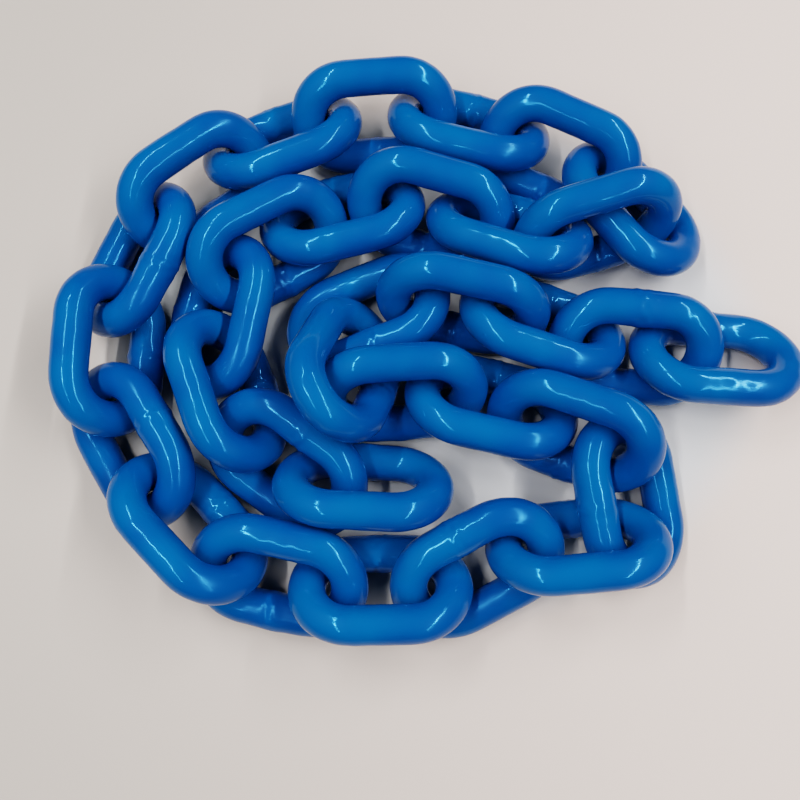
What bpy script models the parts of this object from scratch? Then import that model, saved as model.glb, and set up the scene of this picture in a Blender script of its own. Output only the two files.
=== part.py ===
"""A heap of short-link lifting chain with a thick smooth coating, laid in a flat spiral.

Every link is the same welded link, closed through its neighbours, so the heap is one
chain from the free end at the right to the free end in the middle. Metres, +Z up, the
floor at z = 0, and the origin under the middle of the heap.
"""

import math

import bmesh
import bpy
import numpy as np
from mathutils import Euler, Vector

MM = 0.001

# The link: ten millimetre chain with its coating on.
ROD_D = 10.6          # coated rod
BEND_R = 12.0         # centre line of the half-round ends
LEG_LENGTH = 16.4     # straight part of each leg
LEG_HALF = LEG_LENGTH / 2
JOINT_GAP = 0.4       # between the round rods where two links bear on each other

# The faceted rod.
SIDES = 12            # facets round the rod, their corners on the round rod
BEND_STEPS = 8        # facets along each half-round end

# The seat of one link on the next.
FINE_BEND_STEPS = 16  # points along a bend, and along a leg, where distances are measured
FINE_LEG_STEPS = 8
NEAR = 62.0           # links whose middles are further apart than this never meet
SWEEPS = 240
STEP_LIMIT = 0.4      # the furthest that a link slides in one step
SHARE = 0.45          # part of each error put right in one step
MIN_SLOPE = 0.04      # below it one rod lies over the other, and sliding doesn't part them
TINY = 1e-9

# The coating.
COATING_COLOUR = (0.003, 0.14, 0.48, 1.0)
COATING_ROUGHNESS = 0.16

# How the links lie, from the free end at the right to the free end in the middle.
# x and y place the middle of the link in plan, in millimetres. The heading turns its
# length from +X, the lean raises its left leg (or its right leg, when negative) and the
# tip raises its leading end, all in degrees.
LINKS = (
    # x, y, heading, lean, tip
    (92.0, 10.5, 177, 33, 3),
    (68.5, 13.0, 174, -34, -2),
    (42.0, 19.5, 163, 38, 6),
    (18.0, 24.5, 169, -67, 6),
    (-9.5, 23.5, -161, 23, -11),
    (-14.5, 5.5, -108, -35, 40),
    (0.0, -1.0, 4, 56, -2),
    (26.5, -3.5, -13, -37, -1),
    (49.0, -12.0, -21, 52, 11),
    (65.0, -30.5, -80, -27, -9),
    (49.5, -43.5, -175, 52, -3),
    (22.0, -50.0, -152, -31, -9),
    (-5.0, -55.0, -179, 40, 1),
    (-33.0, -52.0, 168, -34, -1),
    (-58.0, -38.0, 135, 48, -2),
    (-76.0, -15.5, 122, -34, -2),
    (-83.0, 12.0, 90, 50, -1),
    (-78.0, 40.0, 66, -36, 2),
    (-60.0, 62.5, 39, 49, -4),
    (-35.5, 78.0, 21, -37, 2),
    (-7.5, 85.0, 5, 50, -1),
    (21.5, 82.5, -15, -36, 0),
    (48.5, 73.0, -25, 39, -1),
    (70.5, 56.5, -53, -30, 3),
    (58.0, 48.5, -165, -66, -7),
    (32.0, 48.0, 156, 40, -16),
    (9.5, 54.5, 165, -44, 4),
    (-17.0, 54.0, -167, 32, -3),
    (-38.5, 44.0, -149, -43, 7),
    (-52.5, 22.5, -101, 31, -3),
    (-49.0, 0.0, -69, -50, 4),
    (-32.0, -20.5, -36, 30, -4),
    (-10.0, -27.0, -3, -51, 0),
)


def centre_line(bend_steps, leg_steps=1):
    """Points along the middle of the rod with their outward directions, in the link's plane."""
    points = []
    for end in (1, -1):
        for k in range(bend_steps + 1):
            turn = math.pi * (k / bend_steps - 0.5) + (0 if end == 1 else math.pi)
            out = (math.cos(turn), math.sin(turn))
            middle = end * LEG_HALF
            points.append((middle + BEND_R * out[0], BEND_R * out[1], out[0], out[1]))
        for k in range(1, leg_steps):
            along = end * LEG_HALF * (1 - 2 * k / leg_steps)
            points.append((along, end * BEND_R, 0.0, float(end)))
    return np.array(points)


def rod_corners(lean):
    """Corners of the faceted rod in millimetres, ring by ring, about the link's middle.

    The link's length is along X. The facets are turned so that one of them is level
    under the low leg when the link leans by that many degrees.
    """
    down = -(math.pi / 2 - math.radians(abs(lean)))
    turns = [down + (side + 0.5) * 2 * math.pi / SIDES for side in range(SIDES)]
    rings = []
    for x, y, out_x, out_y in centre_line(BEND_STEPS):
        ring = []
        for turn in turns:
            out = ROD_D / 2 * math.cos(turn)
            rise = ROD_D / 2 * math.sin(turn)
            ring.append(Vector((x + out * out_x, y + out * out_y, rise)))
        rings.append(ring)
    return rings


def link_mesh(name, lean):
    """One closed link about its own middle."""
    mesh = bmesh.new()
    rings = [[mesh.verts.new(corner * MM) for corner in ring] for ring in rod_corners(lean)]
    for ring, following in zip(rings, rings[1:] + rings[:1]):
        for side in range(SIDES):
            after = (side + 1) % SIDES
            mesh.faces.new((ring[side], following[side], following[after], ring[after]))
    bmesh.ops.recalc_face_normals(mesh, faces=mesh.faces)
    data = bpy.data.meshes.new(name)
    mesh.to_mesh(data)
    mesh.free()
    data.shade_smooth()
    return data


def turned(row):
    """The rotation of one link, from its heading, lean and tip."""
    heading, lean, tip = (math.radians(value) for value in row[2:])
    return Euler((lean, -tip, heading), "XYZ")


class Lay:
    """The rod's centre line of every link as it lies, in millimetres."""

    def __init__(self):
        line = centre_line(FINE_BEND_STEPS, FINE_LEG_STEPS)
        flat = np.column_stack([line[:, :2], np.zeros(len(line))])
        self.turns = [np.array(turned(row).to_matrix()) for row in LINKS]
        self.lines = [flat @ turn.T for turn in self.turns]
        self.middles = np.array([(row[0], row[1], 0.0) for row in LINKS])
        for number, row in enumerate(LINKS):
            self.middles[number, 2] = rest_height(row)

    def nearest(self, one, other):
        """The closest approach of one link's line to another's, and the way between them."""
        points = self.lines[one] + self.middles[one] - self.middles[other]
        local = points @ self.turns[other]
        along = np.clip(local[:, 0], -LEG_HALF, LEG_HALF)
        across = np.column_stack([local[:, 0] - along, local[:, 1]])
        reach = np.maximum(np.linalg.norm(across, axis=1), TINY)
        across *= (1 - BEND_R / reach)[:, None]
        away = np.column_stack([across, local[:, 2]])
        distance = np.linalg.norm(away, axis=1)
        best = int(np.argmin(distance))
        return distance[best], self.turns[other] @ away[best] / distance[best]

    def contact(self, one, other):
        """The closest approach of two links, pointing from the second to the first."""
        first, way = self.nearest(one, other)
        second, back = self.nearest(other, one)
        return (first, way) if first <= second else (second, -back)

    def pairs(self):
        """Every two links near enough to meet."""
        count = len(LINKS)
        for one in range(count):
            for other in range(one + 1, count):
                apart = self.middles[one, :2] - self.middles[other, :2]
                if np.linalg.norm(apart) < NEAR:
                    yield one, other


def rest_height(row):
    """Height of a link's middle when its lowest facet or corner is on the floor."""
    turn = turned(row).to_matrix()
    return -min((turn @ corner).z for ring in rod_corners(row[3]) for corner in ring)


def seated():
    """Middles of the links after each has slid in plan until its ends bear on its neighbours.

    A joint that is open is drawn up to JOINT_GAP, and any two rods that are closer than
    that are parted. Heights and turns stay as they are.
    """
    lay = Lay()
    wanted = ROD_D + JOINT_GAP
    pairs = list(lay.pairs())
    for _ in range(SWEEPS):
        for one, other in pairs:
            distance, way = lay.contact(one, other)
            error = wanted - distance
            if error < 0 and other != one + 1:
                continue
            level = way[:2]
            slope = float(level @ level)
            if slope < MIN_SLOPE:
                continue
            slide = SHARE * error * level / slope
            size = float(np.linalg.norm(slide))
            if size > STEP_LIMIT:
                slide *= STEP_LIMIT / size
            lay.middles[one, :2] += slide / 2
            lay.middles[other, :2] -= slide / 2
    return lay.middles


def coating():
    material = bpy.data.materials.new("blue_coating")
    material.use_nodes = True
    shader = material.node_tree.nodes["Principled BSDF"]
    shader.inputs["Base Color"].default_value = COATING_COLOUR
    shader.inputs["Roughness"].default_value = COATING_ROUGHNESS
    shader.inputs["Metallic"].default_value = 0.0
    material.diffuse_color = COATING_COLOUR
    return material


def clear_scene():
    for thing in list(bpy.data.objects):
        bpy.data.objects.remove(thing, do_unlink=True)


def main():
    clear_scene()
    material = coating()
    links = []
    for number, (row, middle) in enumerate(zip(LINKS, seated()), start=1):
        name = f"link_{number:02d}"
        link = bpy.data.objects.new(name, link_mesh(name, row[3]))
        link.data.materials.append(material)
        link.rotation_euler = turned(row)
        link.location = Vector(middle) * MM
        bpy.context.scene.collection.objects.link(link)
        links.append(link)
    bpy.context.view_layer.update()
    corners = np.array([link.matrix_world @ v.co for link in links for v in link.data.vertices])
    low, high = corners.min(axis=0), corners.max(axis=0)
    shift = Vector(((low[0] + high[0]) / 2, (low[1] + high[1]) / 2, low[2]))
    for link in links:
        link.location -= shift


main()
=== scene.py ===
"""A heap of short-link lifting chain under a thick, glossy blue coating, on a pale floor.

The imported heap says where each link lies. Here each one is drawn again as a round rod with
the marks of its making: eased bends, a butt weld with its upset and trimmed flash at the
middle of one leg, and a coating that flowed and pooled a little before it set.
"""

import math

import bpy
import numpy as np
from bpy.props import FloatProperty, FloatVectorProperty, PointerProperty
from bpy.types import Operator, Panel, PropertyGroup
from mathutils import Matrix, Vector


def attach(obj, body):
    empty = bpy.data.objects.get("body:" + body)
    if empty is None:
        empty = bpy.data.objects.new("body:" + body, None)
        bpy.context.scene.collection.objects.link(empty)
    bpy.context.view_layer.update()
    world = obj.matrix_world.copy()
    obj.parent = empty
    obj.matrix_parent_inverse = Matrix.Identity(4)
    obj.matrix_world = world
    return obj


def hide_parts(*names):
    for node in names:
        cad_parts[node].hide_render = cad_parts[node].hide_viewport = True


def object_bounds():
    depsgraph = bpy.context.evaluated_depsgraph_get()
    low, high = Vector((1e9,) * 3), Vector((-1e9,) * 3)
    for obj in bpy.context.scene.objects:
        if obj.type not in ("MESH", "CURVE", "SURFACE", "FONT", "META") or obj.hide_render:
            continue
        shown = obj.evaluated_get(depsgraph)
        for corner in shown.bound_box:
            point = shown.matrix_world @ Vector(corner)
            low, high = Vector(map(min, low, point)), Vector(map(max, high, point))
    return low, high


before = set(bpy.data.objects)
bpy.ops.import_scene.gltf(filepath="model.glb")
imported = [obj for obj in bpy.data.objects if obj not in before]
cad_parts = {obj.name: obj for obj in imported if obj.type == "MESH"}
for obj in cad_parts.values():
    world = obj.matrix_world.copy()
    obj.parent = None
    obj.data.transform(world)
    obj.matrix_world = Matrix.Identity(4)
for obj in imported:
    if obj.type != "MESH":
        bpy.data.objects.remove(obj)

bl_info = {
    "name": "Coated Lifting Chain Heap",
    "version": (1, 0, 0),
    "blender": (4, 5, 0),
    "location": "View3D > Sidebar > Chain",
    "description": "Draws a heap of coated short-link lifting chain on a studio floor",
    "category": "Object",
}

PACKED_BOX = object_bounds()
MM = 0.001
MERGE_DECIMALS = 6       # corners of a packed link that agree to this many are one corner

# How finely a link is drawn. Its rings lie closer together at the weld.
RINGS = 280
SIDES = 44
FINE_STEPS = 2000
WELD_ZONE = 5.0 * MM
WELD_CROWDING = 2.2

# The slow drift and the finer ripple of the coating's thickness: the shortest and the longest
# wave, and how many waves make it up.
DRIFT_WAVES = (9 * MM, 26 * MM, 10)
RIPPLE_WAVES = (3.5 * MM, 7 * MM, 14)
RIPPLE_SHARE = 0.4       # of the drift's height
FIRST_SEED = 1000        # a link's random draws are seeded with this plus its number

# The weld, as shares of its height and how far each part of it reaches along the leg.
UPSET_SHARE = 0.55
UPSET_REACH = 4.2 * MM
LUMP_SHARE = 0.26
LUMP_REACH = 2.6 * MM
LUMP_WAVES = (2.4 * MM, 4.6 * MM, 12)
FLASH_SHARE = 0.35
SECOND_FLASH_SHARE = (0.1, 0.3)
FLASH_APART = (1.8, 3.4)         # between the two lines of flash, in millimetres
FLASH_WIDTH = (0.6, 0.95)        # of each line, in millimetres
FLASH_WANDER = 0.9 * MM
FLASH_LEFT = 0.5                 # how much of the flash the trimming left, on average
FLASH_WEAR = 0.9                 # how much that varies round the rod
WANDER_LOBES = ((1, 0.5), (2, 0.4), (3, 0.3), (5, 0.2), (8, 0.12))

# Links whose weld is on the leg that lies high. The others have it on the low leg.
WELD_ON_HIGH_LEG = (2, 5, 10, 12, 16, 18, 32)

# Mottles of the coating: scale, and the noise values at which the mask starts and is full.
TONE_MOTTLE = (45.0, 0.34, 0.68)
DULL_MOTTLE = (40.0, 0.50, 0.70)
PEEL_SCALE = 420.0
NIB_SCALE = 170.0        # cells, of which each can hold one speck
NIB_REACH = 0.07         # radius of a speck, as a share of a cell
NIB_RARITY = 0.6         # share of the cells that hold none

# The floor, in metres. It goes from its darker tone to its lighter one, painted shade at the
# left and painted light at the right, between that far to the left and that far to the right
# of the heap's middle, and it starts to glow, and glows in full, at two distances from there.
FLOOR_HALF = 3.0
PAINTED_LIGHT_FADE = 0.16
GLOW_START = 0.4
GLOW_FULL = 1.8

# A painted bounce of blue light off the coating, on the floor in among the links, inside an
# oval with half the heap's length and width (the last part is for height, which the floor has
# none of). The painted bounce starts and is full at these shares of the oval.
HEAP_OVAL = (0.107, 0.085, 1.0)
PAINTED_BOUNCE_START = 1.0
PAINTED_BOUNCE_FULL = 0.80

# The broad soft lamp: its sides, how far it leans from overhead in degrees, and its height.
SOFT_LAMP_SIDES = (0.3, 0.5)
SOFT_LAMP_LEAN = -45
SOFT_LAMP_HEIGHT = 0.4
SENSOR_WIDTH = 36.0      # of the camera, in millimetres

# The long lamps, in two rows. Each one has a name, its row, its share of the power of that
# row, and for its near end and its far end two angles in degrees, as seen from the middle
# of the heap: how far it leans from overhead towards +X, and how far along Y.
LAMPS = (
    ("lamp_left_near", "left", 0.3, (-19, -38), (-22, -12)),
    ("lamp_left_middle", "left", 1.0, (-22, -12), (-23, 6)),
    ("lamp_left_far", "left", 0.75, (-22, 12), (-20, 36)),
    ("lamp_right_near", "right", 0.4, (31, -40), (32, -14)),
    ("lamp_right_middle", "right", 1.0, (32, -14), (35, 12)),
    ("lamp_right_far", "right", 0.65, (35, 12), (37, 40)),
)


class ChainSizes(PropertyGroup):
    """Sizes of one link and of the relief on its coating."""

    rod_radius: FloatProperty(
        name="Rod radius",
        description="Radius of the coated rod",
        default=5.25 * MM, min=2 * MM, max=20 * MM, precision=5, unit="LENGTH",
    )
    bend_radius: FloatProperty(
        name="Bend radius",
        description="Radius of the rod's middle line round each end of a link",
        default=12.0 * MM, min=4 * MM, max=60 * MM, precision=5, unit="LENGTH",
    )
    leg_length: FloatProperty(
        name="Leg length",
        description="Straight part of each leg",
        default=16.4 * MM, min=1 * MM, max=90 * MM, precision=5, unit="LENGTH",
    )
    bend_ease: FloatProperty(
        name="Bend ease",
        description="Length over which a leg eases into its bend",
        default=4.0 * MM, min=0.0, max=10 * MM, precision=5, unit="LENGTH",
    )
    weld_height: FloatProperty(
        name="Weld height",
        description="How far the flash of the butt weld stands proud under the coating",
        default=0.40 * MM, min=0.0, max=2 * MM, precision=5, unit="LENGTH",
    )
    coat_flow: FloatProperty(
        name="Coat flow",
        description="How far the thickness of the coating drifts along the rod",
        default=0.055 * MM, min=0.0, max=0.5 * MM, precision=5, unit="LENGTH",
    )


class CoatingLook(PropertyGroup):
    """Colour and gloss of the coating."""

    colour: FloatVectorProperty(
        name="Colour",
        description="Colour of the coating",
        subtype="COLOR", size=3, min=0.0, max=1.0, default=(0.0, 0.106, 0.318),
    )
    pooled_colour: FloatVectorProperty(
        name="Pooled colour",
        description="Colour where the coating lies thicker",
        subtype="COLOR", size=3, min=0.0, max=1.0, default=(0.0, 0.076, 0.272),
    )
    reflection_tint: FloatVectorProperty(
        name="Reflection tint",
        description="Tint of what the coating reflects face on",
        subtype="COLOR", size=3, min=0.0, max=1.0, default=(0.10, 0.40, 1.0),
    )
    reflection: FloatProperty(
        name="Reflection",
        description="How strongly the coating reflects face on",
        subtype="FACTOR", default=0.50, min=0.0, max=1.0,
    )
    bloom: FloatProperty(
        name="Bloom",
        description="Strength of the broad faint sheen round the sharp reflections",
        subtype="FACTOR", default=0.07, min=0.0, max=1.0,
    )
    bloom_spread: FloatProperty(
        name="Bloom roughness",
        description="Roughness of the broad faint sheen",
        subtype="FACTOR", default=0.42, min=0.0, max=1.0,
    )
    gloss_low: FloatProperty(
        name="Roughness, glossy",
        description="Roughness where the coating set smooth",
        subtype="FACTOR", default=0.095, min=0.0, max=1.0,
    )
    gloss_high: FloatProperty(
        name="Roughness, dull",
        description="Roughness where the coating was handled or set less smooth",
        subtype="FACTOR", default=0.27, min=0.0, max=1.0,
    )
    peel: FloatProperty(
        name="Orange peel",
        description="Depth of the fine ripple left in the coating",
        default=0.012 * MM, min=0.0, max=0.2 * MM, precision=6, unit="LENGTH",
    )
    nib_height: FloatProperty(
        name="Nibs",
        description="Height of the tiny specks set under the coating",
        default=0.05 * MM, min=0.0, max=0.5 * MM, precision=6, unit="LENGTH",
    )


class StageLook(PropertyGroup):
    """The floor, the lamps, the light from all round, the backdrop and the camera."""

    # The floor's two colours hold painted light: the lamps' falloff is painted in as a darker left
    # side and a lighter right side.
    floor_painted_light: FloatVectorProperty(
        name="Floor, lighter side",
        description="Colour of the floor towards the right",
        subtype="COLOR", size=3, min=0.0, max=1.0, default=(0.755, 0.615, 0.552),
    )
    floor_painted_shade: FloatVectorProperty(
        name="Floor, darker side",
        description="Colour of the floor towards the left",
        subtype="COLOR", size=3, min=0.0, max=1.0, default=(0.475, 0.418, 0.376),
    )
    left_power: FloatProperty(
        name="Left lamps",
        description="Power of each metre of the brightest lamp at the left",
        default=7.5, min=0.0, max=500.0, unit="POWER",
    )
    right_power: FloatProperty(
        name="Right lamps",
        description="Power of each metre of the brightest lamp at the right",
        default=8.5, min=0.0, max=500.0, unit="POWER",
    )
    soft_power: FloatProperty(
        name="Soft lamp",
        description="Power of the broad soft lamp low at the left",
        default=0.75, min=0.0, max=500.0, unit="POWER",
    )
    lamp_width: FloatProperty(
        name="Lamp width",
        description="Width of each long lamp, which sets the width of the streaks",
        default=0.03, min=0.005, max=1.0, unit="LENGTH",
    )
    lamp_height: FloatProperty(
        name="Lamp height",
        description="Height of the lamps above the floor",
        default=0.78, min=0.2, max=5.0, unit="LENGTH",
    )
    # Painted bounce light: in among the links the floor's colour is tinted blue, as if lit by light
    # off the coating.
    painted_bounce_tint: FloatVectorProperty(
        name="Cast among the links",
        description="What the floor's colour is multiplied by in among the links",
        size=3, min=0.0, max=2.0, default=(0.90, 1.07, 1.20),
    )
    backdrop: FloatVectorProperty(
        name="Backdrop",
        description="Colour of the pale surround behind the floor",
        subtype="COLOR", size=3, min=0.0, max=1.0, default=(0.62, 0.60, 0.575),
    )
    fill: FloatProperty(
        name="Fill",
        description="Brightness of the light from all round",
        default=0.06, min=0.0, max=5.0,
    )
    fill_tint: FloatVectorProperty(
        name="Fill tint",
        description="Colour of the light from all round",
        subtype="COLOR", size=3, min=0.0, max=1.0, default=(0.42, 0.80, 1.0),
    )
    camera_place: FloatVectorProperty(
        name="Camera",
        description="Where the camera stands",
        subtype="XYZ", size=3, default=(-0.01018, -0.06066, 0.24034), unit="LENGTH",
    )
    camera_lens: FloatProperty(
        name="Camera lens",
        description="Focal length of the camera, in millimetres on a 36 mm sensor",
        default=36.32, min=10.0, max=300.0,
    )
    camera_tilt: FloatProperty(
        name="Camera tilt",
        description="How far the camera leans from looking straight down",
        subtype="ANGLE", default=math.radians(10.71), min=0.0, max=math.radians(90),
    )


class ChainHeapSettings(PropertyGroup):
    """Everything that can be changed about the heap."""

    sizes: PointerProperty(type=ChainSizes)
    coating: PointerProperty(type=CoatingLook)
    stage: PointerProperty(type=StageLook)


def settings():
    """The heap's settings in this scene."""
    return bpy.context.scene.chain_heap


def rod_line(sizes, weld_side):
    """Middle line of a link's rod: points in its own plane and their outward directions.

    The link's length runs along X. The line goes round the +X end from the low leg to the
    high leg at +Y, back along that leg, round the -X end and along the low leg.
    """
    half = sizes.leg_length / 2
    radius = sizes.bend_radius
    side = math.pi * radius + sizes.leg_length
    travelled = np.arange(FINE_STEPS) * 2 * side / FINE_STEPS
    on_far_side = travelled >= side
    way = np.where(on_far_side, travelled - side, travelled)
    sign = np.where(on_far_side, -1.0, 1.0)
    turn = np.minimum(way / radius, math.pi) - math.pi / 2
    back = np.maximum(way - math.pi * radius, 0.0)
    x = half + radius * np.cos(turn) - back
    y = radius * np.sin(turn)
    line = eased(np.column_stack([sign * x, sign * y]), sizes.bend_ease / (2 * side))
    ahead = np.roll(line, -1, axis=0) - np.roll(line, 1, axis=0)
    ahead /= np.linalg.norm(ahead, axis=1)[:, None]
    weld = side - sizes.leg_length / 2 + (0.0 if weld_side > 0 else side)
    rings = ring_places(travelled, 2 * side, weld)
    parts = (line[:, 0], line[:, 1], ahead[:, 1], -ahead[:, 0])
    parts = [np.interp(rings, travelled, part, period=2 * side) for part in parts]
    return np.column_stack(parts[:2]), np.column_stack(parts[2:])


def bump_at(distance, reach):
    """A smooth bump of height 1, which has all but died away at twice its reach."""
    return np.exp(-(distance / reach) ** 2)


def ring_places(travelled, length, weld):
    """Distances along the line at which the rings lie, closer together round the weld."""
    crowding = 1.0 + WELD_CROWDING * bump_at(travelled - weld, WELD_ZONE)
    share = np.cumsum(crowding) / crowding.sum()
    return np.interp((np.arange(RINGS) + 0.5) / RINGS, share, travelled) % length


def eased(line, share):
    """The closed line with its curvature evened out over that share of its length."""
    reach = int(round(share * FINE_STEPS / 2))
    shifted = [np.roll(line, step, axis=0) for step in range(-reach, reach + 1)]
    return np.mean(shifted, axis=0)


def slow_waves(points, random, shortest, longest, count):
    """A smooth drift over the points, about -1 to 1, made of plane waves of random direction."""
    total = np.zeros(points.shape[:-1])
    for _ in range(count):
        direction = random.normal(size=3)
        direction /= np.linalg.norm(direction)
        length = random.uniform(shortest, longest)
        phase = random.uniform(0, 2 * math.pi)
        total += np.sin(2 * math.pi * (points @ direction) / length + phase)
    return total / math.sqrt(count)


def ragged(turn, random, size):
    """A wandering offset round the rod, as the edge of a weld has."""
    total = np.zeros_like(turn)
    for lobes, share in WANDER_LOBES:
        total += share * np.sin(lobes * turn + random.uniform(0, 2 * math.pi))
    return size * total


def weld_relief(along, turn, random, round_rod):
    """Height of the weld, from 0 to about 1: a broad upset, lumps and two worn lines of flash."""
    apart = random.uniform(*FLASH_APART) * MM
    lumps = slow_waves(round_rod, random, *LUMP_WAVES)
    relief = UPSET_SHARE * bump_at(along, UPSET_REACH)
    relief = relief + LUMP_SHARE * lumps * bump_at(along, LUMP_REACH)
    for side, share in ((-1, FLASH_SHARE), (1, random.uniform(*SECOND_FLASH_SHARE))):
        left = np.clip(FLASH_LEFT + FLASH_WEAR * ragged(turn, random, 1.0), 0.0, 1.0)
        middle = side * apart / 2 + ragged(turn, random, FLASH_WANDER)
        width = random.uniform(*FLASH_WIDTH) * MM
        relief = relief + share * left * bump_at(along - middle, width)
    return relief


def link_points(sizes, number):
    """Points of one link about its own middle, ring by ring, with the high leg at +Y."""
    random = np.random.RandomState(FIRST_SEED + number)
    weld_side = 1.0 if number in WELD_ON_HIGH_LEG else -1.0
    line, outward = rod_line(sizes, weld_side)
    turn = np.arange(SIDES) * 2 * math.pi / SIDES
    turn = np.broadcast_to(turn, (RINGS, SIDES))
    middle = np.broadcast_to(line[:, None, :], (RINGS, SIDES, 2))
    out = np.broadcast_to(outward[:, None, :], (RINGS, SIDES, 2))
    round_rod = swept(middle, out, turn, sizes.rod_radius)
    drift = slow_waves(round_rod, random, *DRIFT_WAVES)
    ripple = slow_waves(round_rod, random, *RIPPLE_WAVES)
    swell = sizes.coat_flow * (drift + RIPPLE_SHARE * ripple)
    along = middle[:, :, 0]
    on_leg = middle[:, :, 1] * weld_side > 0
    weld = sizes.weld_height * np.where(on_leg, weld_relief(along, turn, random, round_rod), 0.0)
    return swept(middle, out, turn, sizes.rod_radius + swell + weld)


def swept(middle, out, turn, radius):
    """Points round the rod's middle line at that radius."""
    level = radius * np.cos(turn)
    flat = middle + level[..., None] * out
    return np.concatenate([flat, (radius * np.sin(turn))[..., None]], axis=-1)


def link_pose(node):
    """How a packed link lies: the turn of its length, high leg and face, and its middle."""
    corners = np.array([corner.co for corner in node.data.vertices])
    corners = np.unique(np.round(corners, MERGE_DECIMALS), axis=0)
    middle = corners.mean(axis=0)
    spread = np.cov((corners - middle).T)
    _, axes = np.linalg.eigh(spread)
    across, length = axes[:, 1], axes[:, 2]
    if across[2] < 0:
        across = -across
    face = np.cross(length, across)
    if face[2] < 0:
        length, face = -length, -face
    return np.column_stack([length, across, face]), middle


def within_packed_box(points):
    """The points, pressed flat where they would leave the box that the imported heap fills."""
    low, high = (np.array(corner) for corner in PACKED_BOX)
    return np.clip(points, low, high)


def grid_faces():
    """Quads of a tube that closes on itself."""
    ring, side = np.meshgrid(np.arange(RINGS), np.arange(SIDES), indexing="ij")
    ring_after = (ring + 1) % RINGS
    side_after = (side + 1) % SIDES
    quads = [ring * SIDES + side, ring_after * SIDES + side]
    quads += [ring_after * SIDES + side_after, ring * SIDES + side_after]
    return np.stack(quads, axis=-1).reshape(-1, 4)


def draw_link(number, node, sizes, coating):
    """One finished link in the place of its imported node."""
    turn, middle = link_pose(node)
    points = link_points(sizes, number).reshape(-1, 3) @ turn.T + middle
    points = within_packed_box(points) - middle
    name = f"coated_link_{number:02d}"
    mesh = bpy.data.meshes.new(name)
    mesh.from_pydata(points.tolist(), [], grid_faces().tolist())
    mesh.shade_smooth()
    mesh.materials.append(coating)
    link = bpy.data.objects.new(name, mesh)
    bpy.context.scene.collection.objects.link(link)
    link.location = middle
    return link


def soft_mottle_group():
    """Node group: a soft, slow mottle over the surface, as a mask from 0 to 1."""
    name = "Soft mottle"
    group = bpy.data.node_groups.get(name)
    if group:
        return group
    group = bpy.data.node_groups.new(name, "ShaderNodeTree")
    group.interface.new_socket("Scale", in_out="INPUT", socket_type="NodeSocketFloat")
    group.interface.new_socket("Low", in_out="INPUT", socket_type="NodeSocketFloat")
    group.interface.new_socket("High", in_out="INPUT", socket_type="NodeSocketFloat")
    group.interface.new_socket("Mask", in_out="OUTPUT", socket_type="NodeSocketFloat")
    nodes, links = group.nodes, group.links
    entry = nodes.new("NodeGroupInput")
    leave = nodes.new("NodeGroupOutput")
    place = nodes.new("ShaderNodeTexCoord")
    noise = nodes.new("ShaderNodeTexNoise")
    noise.inputs["Detail"].default_value = 2.0
    noise.inputs["Roughness"].default_value = 0.45
    spread = nodes.new("ShaderNodeMapRange")
    spread.interpolation_type = "SMOOTHSTEP"
    links.new(place.outputs["Object"], noise.inputs["Vector"])
    links.new(entry.outputs["Scale"], noise.inputs["Scale"])
    links.new(noise.outputs["Fac"], spread.inputs["Value"])
    links.new(entry.outputs["Low"], spread.inputs["From Min"])
    links.new(entry.outputs["High"], spread.inputs["From Max"])
    links.new(spread.outputs["Result"], leave.inputs["Mask"])
    return group


def mottle(nodes, scale, low, high):
    """A placed Soft mottle group with its own values."""
    placed = nodes.new("ShaderNodeGroup")
    placed.node_tree = soft_mottle_group()
    placed.inputs["Scale"].default_value = scale
    placed.inputs["Low"].default_value = low
    placed.inputs["High"].default_value = high
    return placed


def smooth_mask(nodes, links, value, start, full):
    """A mask that goes smoothly from 0, where the value is at its start, to 1 where it is full."""
    spread = nodes.new("ShaderNodeMapRange")
    spread.interpolation_type = "SMOOTHSTEP"
    spread.inputs["From Min"].default_value = start
    spread.inputs["From Max"].default_value = full
    links.new(value, spread.inputs["Value"])
    return spread.outputs["Result"]


def length_of(nodes, links, vector):
    """The length of a vector that varies over the surface."""
    measure = nodes.new("ShaderNodeVectorMath")
    measure.operation = "LENGTH"
    links.new(vector, measure.inputs[0])
    return measure.outputs["Value"]


def mixed_colour(nodes, links, mask, first, second):
    """A colour that goes from the first to the second with the mask."""
    mix = nodes.new("ShaderNodeMix")
    mix.data_type = "RGBA"
    mix.inputs["A"].default_value = (*first, 1.0)
    mix.inputs["B"].default_value = (*second, 1.0)
    links.new(mask, mix.inputs["Factor"])
    return mix.outputs["Result"]


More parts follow.
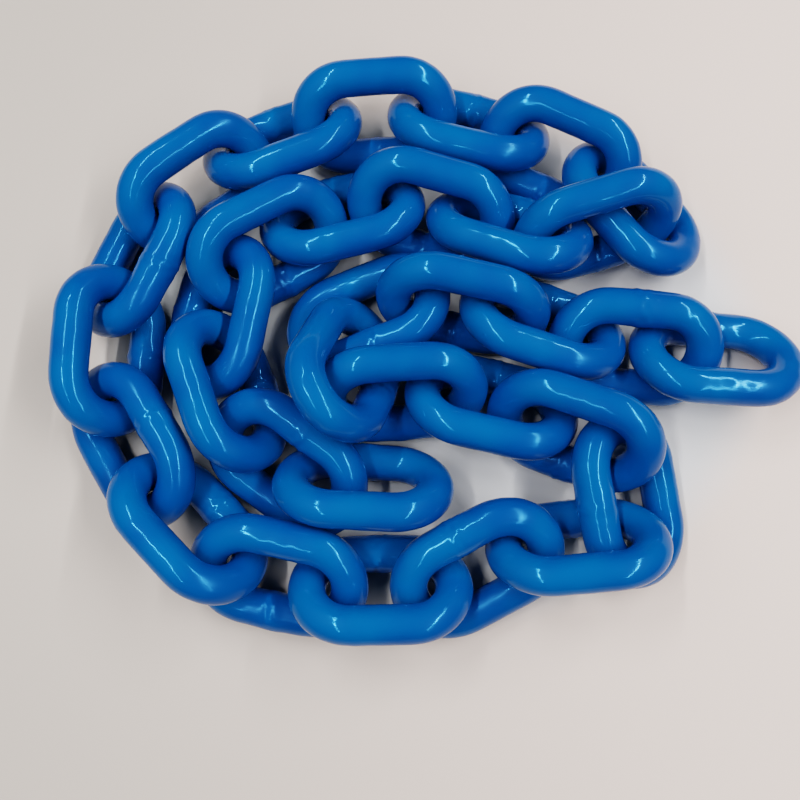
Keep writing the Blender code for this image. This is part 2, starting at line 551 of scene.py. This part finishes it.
def coating_material(look):
    """Thick glossy coating: a slow drift of tone, duller patches, fine ripple and a few specks."""
    material = bpy.data.materials.new("blue_coating_gloss")
    material.use_nodes = True
    nodes, links = material.node_tree.nodes, material.node_tree.links
    shader = nodes["Principled BSDF"]
    shader.inputs["Metallic"].default_value = 0.0
    shader.inputs["IOR"].default_value = 1.5
    shader.inputs["Specular IOR Level"].default_value = look.reflection
    shader.inputs["Specular Tint"].default_value = (*look.reflection_tint, 1.0)
    shader.inputs["Coat Weight"].default_value = look.bloom
    shader.inputs["Coat Roughness"].default_value = look.bloom_spread

    tone = mottle(nodes, *TONE_MOTTLE)
    colour = mixed_colour(nodes, links, tone.outputs["Mask"], look.colour, look.pooled_colour)
    links.new(colour, shader.inputs["Base Color"])

    dull = mottle(nodes, *DULL_MOTTLE)
    gloss = nodes.new("ShaderNodeMapRange")
    gloss.inputs["To Min"].default_value = look.gloss_low
    gloss.inputs["To Max"].default_value = look.gloss_high
    links.new(dull.outputs["Mask"], gloss.inputs["Value"])
    links.new(gloss.outputs["Result"], shader.inputs["Roughness"])

    place = nodes.new("ShaderNodeTexCoord").outputs["Object"]
    peel = nodes.new("ShaderNodeTexNoise")
    peel.inputs["Scale"].default_value = PEEL_SCALE
    peel.inputs["Detail"].default_value = 1.0
    links.new(place, peel.inputs["Vector"])
    ripple = nodes.new("ShaderNodeBump")
    ripple.inputs["Distance"].default_value = look.peel
    links.new(peel.outputs["Fac"], ripple.inputs["Height"])
    nib_bump = nodes.new("ShaderNodeBump")
    nib_bump.inputs["Distance"].default_value = look.nib_height
    links.new(nibs(nodes, links, place), nib_bump.inputs["Height"])
    links.new(ripple.outputs["Normal"], nib_bump.inputs["Normal"])
    links.new(nib_bump.outputs["Normal"], shader.inputs["Normal"])
    return material


def nibs(nodes, links, place):
    """Height, from 0 to 1, of a few tiny specks of dust set under the coating."""
    cells = nodes.new("ShaderNodeTexVoronoi")
    cells.inputs["Scale"].default_value = NIB_SCALE
    links.new(place, cells.inputs["Vector"])
    rise = smooth_mask(nodes, links, cells.outputs["Distance"], NIB_REACH, 0.0)
    lot = nodes.new("ShaderNodeSeparateColor")
    links.new(cells.outputs["Color"], lot.inputs["Color"])
    chosen = nodes.new("ShaderNodeMath")
    chosen.operation = "GREATER_THAN"
    chosen.inputs[1].default_value = NIB_RARITY
    links.new(lot.outputs["Red"], chosen.inputs[0])
    height = nodes.new("ShaderNodeMath")
    height.operation = "MULTIPLY"
    links.new(rise, height.inputs[0])
    links.new(chosen.outputs["Value"], height.inputs[1])
    return height.outputs["Value"]


class CHAINHEAP_OT_links(Operator):
    """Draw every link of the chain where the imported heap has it"""

    bl_idname = "chain_heap.links"
    bl_label = "Coated Links"

    def execute(self, context):
        look = settings()
        coating = coating_material(look.coating)
        for node_name in sorted(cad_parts):
            number = int(node_name.split("_")[1])
            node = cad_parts[node_name]
            link = draw_link(number, node, look.sizes, coating)
            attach(link, "root")
            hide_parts(node_name)
        return {"FINISHED"}


def floor_tone(nodes, links, place, look):
    """The floor's colour, with painted light: lighter and warmer towards +X, where the
    lamps fall brighter, and tinted blue in among the links by painted bounce light.
    """
    parts = nodes.new("ShaderNodeSeparateXYZ")
    links.new(place, parts.inputs["Vector"])
    # Painted light: the floor is painted lighter towards +X, in place of the lamps' falloff.
    across = smooth_mask(nodes, links, parts.outputs["X"], -PAINTED_LIGHT_FADE, PAINTED_LIGHT_FADE)
    painted_light_colour = mixed_colour(nodes, links, across, look.floor_painted_shade, look.floor_painted_light)

    # Painted bounce light: in among the links the floor's colour is multiplied by a blue tint, in
    # place of light off the coating.
    share = nodes.new("ShaderNodeVectorMath")
    share.operation = "DIVIDE"
    share.inputs[1].default_value = HEAP_OVAL
    links.new(place, share.inputs[0])
    reach = length_of(nodes, links, share.outputs["Vector"])
    painted_bounce_mask = smooth_mask(nodes, links, reach, PAINTED_BOUNCE_START, PAINTED_BOUNCE_FULL)
    painted_bounce = mixed_colour(nodes, links, painted_bounce_mask, (1.0, 1.0, 1.0), look.painted_bounce_tint)
    painted_floor_colour = nodes.new("ShaderNodeMix")
    painted_floor_colour.data_type = "RGBA"
    painted_floor_colour.blend_type = "MULTIPLY"
    painted_floor_colour.inputs["Factor"].default_value = 1.0
    links.new(painted_light_colour, painted_floor_colour.inputs["A"])
    links.new(painted_bounce, painted_floor_colour.inputs["B"])
    return painted_floor_colour.outputs["Result"]


def floor_material(look):
    """Pale matt floor. Far from the heap, out of the lamps' reach, it glows like the backdrop."""
    material = bpy.data.materials.new("pale_floor")
    material.use_nodes = True
    nodes, links = material.node_tree.nodes, material.node_tree.links
    shader = nodes["Principled BSDF"]
    shader.inputs["Roughness"].default_value = 0.55
    place = nodes.new("ShaderNodeTexCoord").outputs["Object"]
    links.new(floor_tone(nodes, links, place, look), shader.inputs["Base Color"])
    distance = length_of(nodes, links, place)
    away = smooth_mask(nodes, links, distance, GLOW_START, GLOW_FULL)
    glow = mixed_colour(nodes, links, away, (0.0, 0.0, 0.0), look.backdrop)
    links.new(glow, shader.inputs["Emission Color"])
    shader.inputs["Emission Strength"].default_value = 1.0
    return material


def floor(look):
    """The floor, level under the heap."""
    half = FLOOR_HALF
    mesh = bpy.data.meshes.new("floor")
    corners = [(-half, -half, 0), (half, -half, 0), (half, half, 0), (-half, half, 0)]
    mesh.from_pydata(corners, [], [(0, 1, 2, 3)])
    mesh.materials.append(floor_material(look))
    ground = bpy.data.objects.new("floor", mesh)
    bpy.context.scene.collection.objects.link(ground)


def lamp_end(lean, along, height):
    """Where a lamp ends, from the two angles in degrees at which the heap sees that end."""
    lean, along = math.radians(lean), math.radians(along)
    return Vector((height * math.tan(lean), height * math.tan(along) / math.cos(lean), height))


def long_lamp(name, look, power, near, far):
    """One long narrow lamp that runs along Y, high over the heap.

    The power is that of each metre of it.
    """
    start = lamp_end(*near, look.lamp_height)
    end = lamp_end(*far, look.lamp_height)
    run = end - start
    middle = (start + end) / 2
    data = bpy.data.lights.new(name, "AREA")
    data.shape = "RECTANGLE"
    data.size = look.lamp_width
    data.size_y = run.length
    data.energy = power * run.length
    lamp = bpy.data.objects.new(name, data)
    bpy.context.scene.collection.objects.link(lamp)
    lamp.location = middle
    lamp.rotation_euler = (0.0, math.atan2(middle.x, middle.z), math.atan2(-run.x, run.y))


def soft_lamp(look):
    """A broad weak lamp low at the left, which lights but doesn't show in the coating."""
    data = bpy.data.lights.new("lamp_soft", "AREA")
    data.shape = "RECTANGLE"
    data.size, data.size_y = SOFT_LAMP_SIDES
    data.energy = look.soft_power
    lamp = bpy.data.objects.new("lamp_soft", data)
    bpy.context.scene.collection.objects.link(lamp)
    lamp.location = lamp_end(SOFT_LAMP_LEAN, 0, SOFT_LAMP_HEIGHT)
    lamp.rotation_euler = (0.0, math.radians(SOFT_LAMP_LEAN), 0.0)
    lamp.visible_glossy = False


def fill_light(look):
    """A dim tinted surround, which the camera itself sees as a pale backdrop."""
    world = bpy.data.worlds.new("studio")
    bpy.context.scene.world = world
    world.use_nodes = True
    nodes, links = world.node_tree.nodes, world.node_tree.links
    dim = nodes["Background"]
    dim.inputs["Color"].default_value = (*look.fill_tint, 1.0)
    dim.inputs["Strength"].default_value = look.fill
    pale = nodes.new("ShaderNodeBackground")
    pale.inputs["Color"].default_value = (*look.backdrop, 1.0)
    path = nodes.new("ShaderNodeLightPath")
    pick = nodes.new("ShaderNodeMixShader")
    links.new(path.outputs["Is Camera Ray"], pick.inputs["Fac"])
    links.new(dim.outputs["Background"], pick.inputs[1])
    links.new(pale.outputs["Background"], pick.inputs[2])
    links.new(pick.outputs["Shader"], nodes["World Output"].inputs["Surface"])


def photo_camera(look):
    """The camera that sees the heap as the photograph does."""
    data = bpy.data.cameras.new("camera")
    data.sensor_width = SENSOR_WIDTH
    data.lens = look.camera_lens
    data.clip_start = 0.01
    camera = bpy.data.objects.new("camera", data)
    bpy.context.scene.collection.objects.link(camera)
    camera.location = look.camera_place
    camera.rotation_euler = (look.camera_tilt, 0.0, 0.0)
    bpy.context.scene.camera = camera


class CHAINHEAP_OT_stage(Operator):
    """Lay the floor and set the lamps, the fill light and the camera"""

    bl_idname = "chain_heap.stage"
    bl_label = "Studio Stage"

    def execute(self, context):
        look = settings().stage
        floor(look)
        for name, row, share, near, far in LAMPS:
            power = look.left_power if row == "left" else look.right_power
            long_lamp(name, look, share * power, near, far)
        soft_lamp(look)
        fill_light(look)
        photo_camera(look)
        context.scene.view_settings.view_transform = "Filmic"
        context.scene.view_settings.look = "High Contrast"
        return {"FINISHED"}


class CHAINHEAP_PT_panel(Panel):
    """Sidebar panel that lists the pieces and what can be changed"""

    bl_idname = "CHAINHEAP_PT_panel"
    bl_label = "Lifting Chain Heap"
    bl_space_type = "VIEW_3D"
    bl_region_type = "UI"
    bl_category = "Chain"

    def draw(self, context):
        look = context.scene.chain_heap
        for title, group in (("Link", look.sizes), ("Coating", look.coating), ("Stage", look.stage)):
            box = self.layout.box()
            box.label(text=title)
            for name in group.__annotations__:
                box.prop(group, name)
        self.layout.operator(CHAINHEAP_OT_links.bl_idname)
        self.layout.operator(CHAINHEAP_OT_stage.bl_idname)


CLASSES = (
    ChainSizes,
    CoatingLook,
    StageLook,
    ChainHeapSettings,
    CHAINHEAP_OT_links,
    CHAINHEAP_OT_stage,
    CHAINHEAP_PT_panel,
)


def register():
    for one in CLASSES:
        bpy.utils.register_class(one)
    bpy.types.Scene.chain_heap = PointerProperty(type=ChainHeapSettings)


def unregister():
    del bpy.types.Scene.chain_heap
    for one in reversed(CLASSES):
        bpy.utils.unregister_class(one)


def main():
    register()
    bpy.ops.chain_heap.links()
    bpy.ops.chain_heap.stage()


if __name__ == "__main__":
    main()
